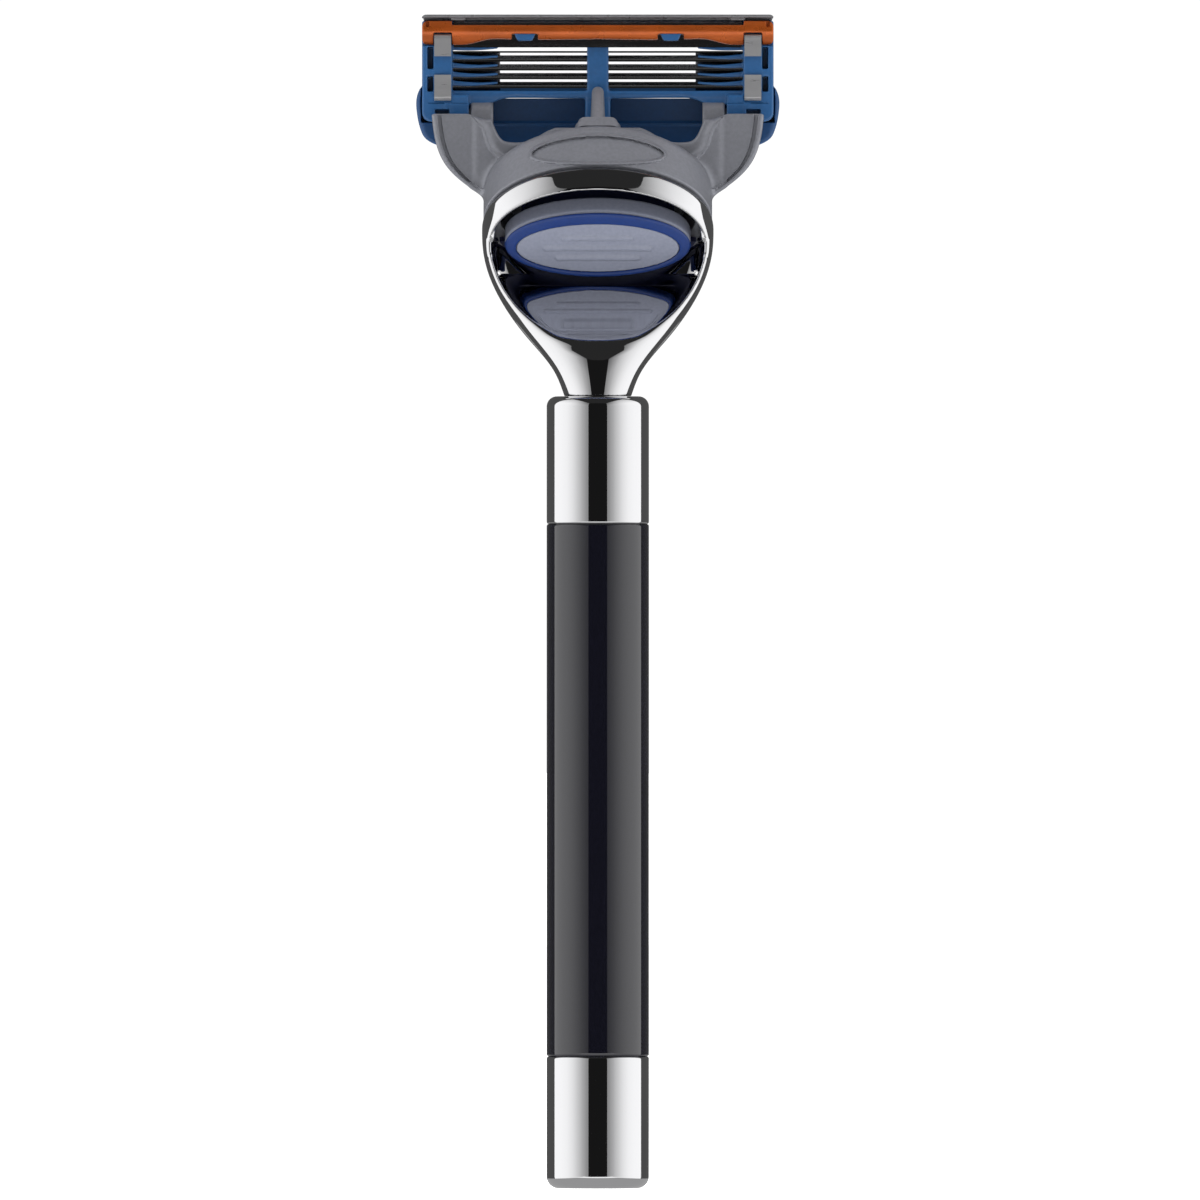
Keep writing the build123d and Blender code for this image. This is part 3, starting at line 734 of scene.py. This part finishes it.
def yoke_field(x, y, z):
    x = np.abs(x)
    s, u = dock(y, z)
    top = 4.2 + (u + 12) * 0.1708
    body = smooth_max(oval(x, u, YOKE_A, YOKE_B), s - top, 1.8)
    body = smooth_max(body, 0.3 - s, 0.25)

    outer_edge = (x - np.interp(z, ARM_OUTER[0], ARM_OUTER[1][:, 0])) * 0.8
    inner_edge = (np.interp(z, ARM_INNER[0], ARM_INNER[1][:, 0]) - x) * 0.8
    outline = smooth_max(smooth_max(outer_edge, inner_edge, 0.3), z - ARM_TOP, 0.3)
    plate = smooth_max(outline, slab(y, ARM_BACK, ARM_FRONT), 0.5)
    plate = np.maximum(plate, 117.0 - z)
    panel = np.maximum(np.maximum(outer_edge + 0.78, inner_edge + 0.1), 118.0 - z)
    recess = np.maximum(panel, y - ARM_BACK - 0.4)
    line = np.maximum(np.abs(outer_edge + 0.72) - 0.17, y - ARM_BACK - 0.7)
    plate = smooth_max(plate, -np.minimum(recess, line), 0.12)
    body = smooth_min(body, plate, 1.0)

    web_top = (z - np.interp(x, WEB_TOP[0], WEB_TOP[1][:, 0])) * 0.75
    web = smooth_max(np.maximum(web_top, np.maximum(119.5 - z, x - 14.2)), slab(y, 8.9, 10.1), 0.5)
    body = smooth_min(body, web, 1.0)
    shank = segment(s, u, 5.8, -0.4, PIVOT_S, PIVOT_U) - BEARING_R
    bearing = smooth_max(np.maximum(shank, outer_edge + 0.1), slab(x, BEARING_X0, BEARING_X1), 0.3)
    body = smooth_min(body, bearing, 0.5)
    pin = np.maximum(np.hypot(y - PIVOT[1], z - PIVOT[2]) - PIN_R, slab(x, 14.0, PIN_X1))
    body = np.minimum(body, pin)

    rise = z - 122.95 + 0.6 * (x / 8) ** 2
    plaque = oval(x, rise, 7.95, 1.7)
    body = np.maximum(body, -np.maximum(body - 0.01, np.maximum(-body - 0.13, plaque)))
    rim = np.abs(plaque) - 0.17
    body = np.minimum(body, smooth_max(body - 0.2, rim, 0.15))

    socket = np.maximum(oval(x, u, 11.5, 5.75), s - 4.3)
    plunger_way = np.maximum(np.hypot(x, u - PLUNGER_U) - PLUNGER_HOLE_R, 1.2 - s)
    return np.maximum(body, -np.minimum(socket, plunger_way))


def build_connector():
    low, high = mm_box("connector_yoke")
    implicit("connector_yoke_moulded", yoke_field, low - 0.5, high + 0.5, 0.19,
             "connector", "connector_grey", "connector_yoke")


# ================================================================ cartridge
BLADE_Z, BLADE_PITCH, BLADE_COUNT = 130.45, 1.05, 5
FRAME_X, FRAME_BACK, FRAME_FRONT = 20.95, 11.5, 17.9
FRAME_BOTTOM, FRAME_TOP = 126.3, 138.3
BRIDGE_BOTTOM, LEDGE_BOTTOM, LEDGE_TOP = 136.3, 129.2, 130.0
BAR_X, BAR_BACK, BAR_FRONT = 1.27, 12.7, 14.1
FINGER_START, WINDOW_X = 11.85, 17.4
FIN_PITCH, FIN_DEPTH = 0.52, 0.2
LIP = smooth_curve([(0.0, 129.2), (2.4, 129.2), (8.2, 129.35), (11.0, 129.2), (12.9, 128.45),
                    (15.5, 128.5), (17.1, 129.2), (18.0, 129.4)], 400)
HOLDER_LOW = smooth_curve([(0.0, 136.15), (11.0, 136.15), (12.8, 136.12), (14.4, 135.75), (15.8, 135.42),
                           (18.0, 135.4), (21.0, 135.4)], 400)
GUARD_SIDE = smooth_curve([(122.9, 15.5), (123.15, 17.2), (123.7, 19.3), (125.2, 20.95), (127.6, 21.5),
                           (129.8, 21.35), (131.3, 20.5)], 400)


def block(x, y, z, x0, x1, y0, y1, z0, z1, corner):
    """Distance to a box with rounded edges."""
    p = np.abs(x - (x0 + x1) / 2) - (x1 - x0) / 2 + corner
    q = np.abs(y - (y0 + y1) / 2) - (y1 - y0) / 2 + corner
    r = np.abs(z - (z0 + z1) / 2) - (z1 - z0) / 2 + corner
    outside = np.sqrt(np.maximum(p, 0) ** 2 + np.maximum(q, 0) ** 2 + np.maximum(r, 0) ** 2)
    return outside + np.minimum(np.maximum(p, np.maximum(q, r)), 0) - corner


def frame_field(x, y, z):
    x = np.abs(x)
    end = block(x, y, z, 17.25, FRAME_X, FRAME_BACK, FRAME_FRONT, FRAME_BOTTOM, FRAME_TOP, 0.3)
    corner = np.hypot(np.maximum(x - 19.6, 0), np.maximum(127.6 - z, 0)) - 1.3
    end = smooth_max(end, corner, 0.3)
    foot_block = block(x, y, z, 15.3, 18.2, FRAME_BACK, 15.5, FRAME_BOTTOM, 129.5, 0.2)
    end = smooth_min(end, foot_block, 0.3)
    for low, high in ((132.6, 135.2), (129.9, 131.7)):
        end = smooth_max(end, -block(x, y, z, 19.5, 20.2, 10.0, 14.0, low, high, 0.1), 0.15)
    end = smooth_max(end, -block(x, y, z, 17.6, 19.3, 10.0, 13.0, 127.2, 127.8, 0.1), 0.15)
    groove = block(x, y, z, 15.2, 20.2, 11.0, 11.68, 128.5, 128.62, 0.05)
    end = np.maximum(end, -groove)
    clip_seat = block(x, y, z, 17.3, 19.5, 10.0, 11.56, 128.7, 137.0, 0.05)
    end = np.maximum(end, -clip_seat)
    end = np.maximum(end, -block(x, y, z, 17.2, 22.0, 10.0, 12.15, 135.35, 140.0, 0.05))
    end = np.maximum(end, -block(x, y, z, 17.0, 18.6, 14.2, 19.0, 129.3, 136.3, 0.05))

    bridge = block(x, y, z, -1.0, 18.2, 12.6, FRAME_FRONT, BRIDGE_BOTTOM, FRAME_TOP, 0.15)
    ledge = block(x, y, z, -1.0, 18.2, 12.8, 16.6, LEDGE_BOTTOM, LEDGE_TOP, 0.2)
    lip = np.maximum((np.interp(x, LIP[0], LIP[1][:, 0]) - z) * 0.85, z - 129.9)
    lip = smooth_max(np.maximum(lip, x - 17.6), slab(y, 12.7, 13.3), 0.25)
    bar = block(x, y, z, -BAR_X, BAR_X, BAR_BACK, BAR_FRONT, 129.0, 136.5, 0.25)
    foot = block(x, y, z, -1.5, 1.5, BAR_BACK, BAR_FRONT, 126.6, 129.4, 0.3)
    tab = np.maximum(slab(y, 11.25, 12.8), slab(z, 135.95, 136.85))
    tab = smooth_max(tab, np.abs(x - 8.65) - 1.3 + (136.85 - z) * 0.5, 0.15)
    solid = end
    for piece in (bridge, ledge, lip, bar, foot, tab):
        solid = smooth_min(solid, piece, 0.3)
    for index in range(BLADE_COUNT):
        along = (np.clip(x, FINGER_START, WINDOW_X) - FINGER_START) / (WINDOW_X - FINGER_START)
        sag = 0.16 * np.sin(along * math.pi)
        middle = BLADE_Z + (index + 0.5) * BLADE_PITCH - sag
        thick = np.interp(x, (FINGER_START, 14.0, WINDOW_X), (0.12, 0.17, 0.3))
        finger = smooth_max(np.abs(z - middle) - thick, slab(x, FINGER_START, 17.6), 0.1)
        finger = smooth_max(finger, slab(y, 12.9, 14.8), 0.1)
        solid = smooth_min(solid, finger, 0.25)
    return solid


def guard_field(x, y, z):
    x = np.abs(x)
    side = (x - np.interp(z, GUARD_SIDE[0], GUARD_SIDE[1][:, 0])) * 0.8
    outline = smooth_max(side, slab(z, 123.1, 131.2), 0.8)
    fins = np.where((x < 16.8) & (z > 124.1) & (z < 128.9), FIN_DEPTH, 0.0)
    front = y - 18.65 + fins * (1 - np.cos((z - 124.14) / FIN_PITCH * 2 * math.pi))
    solid = smooth_max(outline, smooth_max(front * 0.7, 15.7 - y, 0.5), 0.6)
    rib = np.maximum(np.hypot(z - 126.15, y - 15.72) - 0.22, x - 16.9)
    solid = smooth_min(solid, rib, 0.15)
    top_room = np.maximum(x - 19.6, 129.15 - z)
    frame_room = np.maximum(slab(x, 17.25, 20.97), np.maximum(y - 17.93, 126.27 - z))
    return np.maximum(solid, -np.minimum(top_room, frame_room))


def holder_field(x, y, z):
    x = np.abs(x)
    low = (np.interp(x, HOLDER_LOW[0], HOLDER_LOW[1][:, 0]) - z) * 0.9
    high = z - np.where(x > 17.3, 138.3, 137.8)
    outline = smooth_max(smooth_max(low, high, 0.2), x - 20.85, 0.8)
    crown = 0.3 * ((z - 137.2) / 1.0) ** 2
    bar = smooth_max(outline, smooth_max(11.05 + crown - y, y - 12.1, 0.15), 0.2)
    bar = smooth_max(bar, -block(x, y, z, 7.1, 10.2, 10.0, 13.0, 135.0, 136.75, 0.2), 0.1)
    bar = smooth_max(bar, -block(x, y, z, 17.3, 19.5, 10.0, 13.0, 134.0, 136.9, 0.2), 0.1)
    hole = np.maximum(oval(x - 20.2, z - 137.9, 0.24, 0.4), y - 11.7)
    return np.maximum(bar, -hole)


def tray_field(x, y, z):
    x = np.abs(x)
    rail = block(x, y, z, -1.0, 20.95, 11.4, 18.2, 138.68, 139.05, 0.12)
    core = block(x, y, z, -1.0, 20.7, 12.7, 18.15, 138.35, 138.8, 0.05)
    tabs = block(x, y, z, 15.7, 17.4, 11.7, 12.9, 138.36, 138.8, 0.05)
    corner = np.hypot(np.maximum(x - 20.35, 0), np.maximum(z - 138.45, 0)) - 0.6
    return np.maximum(np.minimum(rail, np.minimum(core, tabs)), corner)


def build_cartridge():
    for name, field, node, slot, cell in (
            ("frame_moulding", frame_field, "cartridge_frame", "frame_blue", 0.17),
            ("guard_moulding", guard_field, "guard", "guard_rubber", 0.14),
            ("holder_bar", holder_field, "trimmer_holder", "holder_orange", 0.13),
            ("top_rail", tray_field, "strip_tray", "tray_grey", 0.13)):
        low, high = mm_box(node)
        implicit(name, field, low - 0.4, high + 0.4, cell, "cartridge", slot, node)


# ================================================================ stage, light and camera
def emission(name, strength):
    material = bpy.data.materials.new(name)
    material.use_nodes = True
    tree = material.node_tree
    tree.nodes.clear()
    light = tree.nodes.new("ShaderNodeEmission")
    light.inputs["Strength"].default_value = strength
    output = tree.nodes.new("ShaderNodeOutputMaterial")
    tree.links.new(light.outputs["Emission"], output.inputs["Surface"])
    return material, tree, light


def softbox_light(name, near, far, stops):
    """Emission that changes along Y and fades upwards; stops are (Y in metres, radiance)."""
    peak = max(radiance for _, radiance in stops)
    material, tree, light = emission(name, peak)
    coords = tree.nodes.new("ShaderNodeTexCoord")
    split = tree.nodes.new("ShaderNodeSeparateXYZ")
    spread = tree.nodes.new("ShaderNodeMapRange")
    spread.inputs["From Min"].default_value = near
    spread.inputs["From Max"].default_value = far
    ramp = tree.nodes.new("ShaderNodeValToRGB")
    elements = ramp.color_ramp.elements
    for index, (place_y, radiance) in enumerate(stops):
        element = elements[index] if index < 2 else elements.new(1.0)
        element.position = (place_y - near) / (far - near)
        element.color = (*[radiance / peak] * 3, 1)
    tree.links.new(coords.outputs["Object"], split.inputs["Vector"])
    tree.links.new(split.outputs["Y"], spread.inputs["Value"])
    tree.links.new(spread.outputs["Result"], ramp.inputs["Fac"])
    tree.links.new(ramp.outputs["Color"], light.inputs["Color"])
    fade = tree.nodes.new("ShaderNodeMapRange")
    fade.inputs["From Min"].default_value = 0.35
    fade.inputs["From Max"].default_value = 1.0
    fade.inputs["To Min"].default_value = peak
    fade.inputs["To Max"].default_value = 0.45 * peak
    tree.links.new(split.outputs["Z"], fade.inputs["Value"])
    tree.links.new(fade.outputs["Result"], light.inputs["Strength"])
    return material


def stage_mesh(name, corners, material):
    mesh = bpy.data.meshes.new(name)
    mesh.from_pydata(corners, [], [list(range(len(corners)))])
    mesh.materials.append(material)
    piece = bpy.data.objects.new(name, mesh)
    bpy.context.scene.collection.objects.link(piece)
    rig.stage(piece)
    return piece


def reflection_only(name, radiance, corners):
    """Card that only shiny surfaces can see."""
    card = stage_mesh(name, corners, emission(name + "_light", radiance)[0])
    card.visible_camera = False
    card.visible_diffuse = False
    card.visible_transmission = False
    card.visible_shadow = False


def dome(name, radius, radiance):
    """Ball of even light that the camera doesn't see."""
    bm = bmesh.new()
    bmesh.ops.create_icosphere(bm, subdivisions=4, radius=radius)
    mesh = bpy.data.meshes.new(name)
    bm.to_mesh(mesh)
    bm.free()
    mesh.materials.append(emission(name + "_light", radiance)[0])
    piece = bpy.data.objects.new(name, mesh)
    bpy.context.scene.collection.objects.link(piece)
    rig.stage(piece)
    piece.visible_camera = False
    piece.visible_transmission = False
    piece.visible_shadow = False
    return piece


def across(x, near, far, z):
    """Corners of a level card from -x to x and from near to far, at height z."""
    return [(-x, near, z), (x, near, z), (x, far, z), (-x, far, z)]


def build_stage():
    pale = bpy.data.materials.new("pale_floor")
    pale.use_nodes = True
    shader = pale.node_tree.nodes["Principled BSDF"]
    shader.inputs["Base Color"].default_value = (0.85, 0.85, 0.85, 1)
    shader.inputs["Roughness"].default_value = 0.9
    shader.inputs["Emission Color"].default_value = (1, 1, 1, 1)
    shader.inputs["Emission Strength"].default_value = 1.0
    half = 12.0
    floor = stage_mesh("floor", across(half, -half, half, 0), pale)
    floor.visible_glossy = False

    dome("dim_surroundings", 14.0, 0.1).visible_diffuse = False
    dome("soft_fill", 3.5, 0.5).visible_glossy = False

    near, far = -1.29, 0.23
    low, high = -0.35, 1.0
    stops = [(-1.29, 0.38), (-1.053, 0.42), (-0.717, 0.62), (-0.463, 0.92), (-0.289, 1.2),
             (-0.146, 1.38), (0.0, 1.45), (0.23, 1.47)]
    glow = softbox_light("softbox_light", near, far, stops)
    beside = 0.5
    for side in (-1, 1):
        x = side * beside
        corners = [(x, near, low), (x, far, low), (x, far, high), (x, near, high)]
        box = stage_mesh(f"softbox_{side + 1}", corners, glow)
        box.visible_camera = False

    under = -0.05
    split = -0.26
    reflection_only("low_reflector", 1.4, across(0.6, -0.8, split, under))
    reflection_only("floor_glow", 0.45, across(0.25, split, 0.6, under))
    reflection_only("dark_gap", 0.012, [(-beside, near, low), (beside, near, low),
                                        (beside, near, high), (-beside, near, high)])
    reflection_only("dark_top", 0.03, across(beside, near, far, high))

    top = stage_mesh("top_fill", across(beside, -0.9, 0.3, 1.1), emission("top_fill_light", 3.2)[0])
    top.visible_camera = False
    top.visible_glossy = False

    world = bpy.data.worlds.new("studio")
    world.use_nodes = True
    background = world.node_tree.nodes["Background"]
    background.inputs["Color"].default_value = (1, 1, 1, 1)
    background.inputs["Strength"].default_value = 1.05
    world.cycles_visibility.glossy = False
    bpy.context.scene.world = world


def build_camera():
    """Long lens, level, straight at the back of the razor."""
    view_width = 142.012 * MM
    distance = 5.0
    data = bpy.data.cameras.new("camera")
    data.sensor_width = 36
    data.lens = 36 * distance / view_width
    data.clip_end = 100
    camera = bpy.data.objects.new("camera", data)
    centre_z = 69.6 * MM
    camera.location = (0.26 * MM, -distance, centre_z)
    camera.rotation_euler = (math.pi / 2, 0, 0)
    bpy.context.scene.collection.objects.link(camera)
    bpy.context.scene.camera = camera
    bpy.context.scene.view_settings.view_transform = "Standard"


build_handle()
build_head()
build_button()
build_connector()
build_cartridge()
finish_cad_nodes()
build_stage()
build_camera()

VISUAL_LOW, VISUAL_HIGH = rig.bounds()
with open("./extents.json", "w") as size_file:
    json.dump({"cad": [list(CAD_LOW), list(CAD_HIGH)],
               "visual": [list(VISUAL_LOW), list(VISUAL_HIGH)]}, size_file)
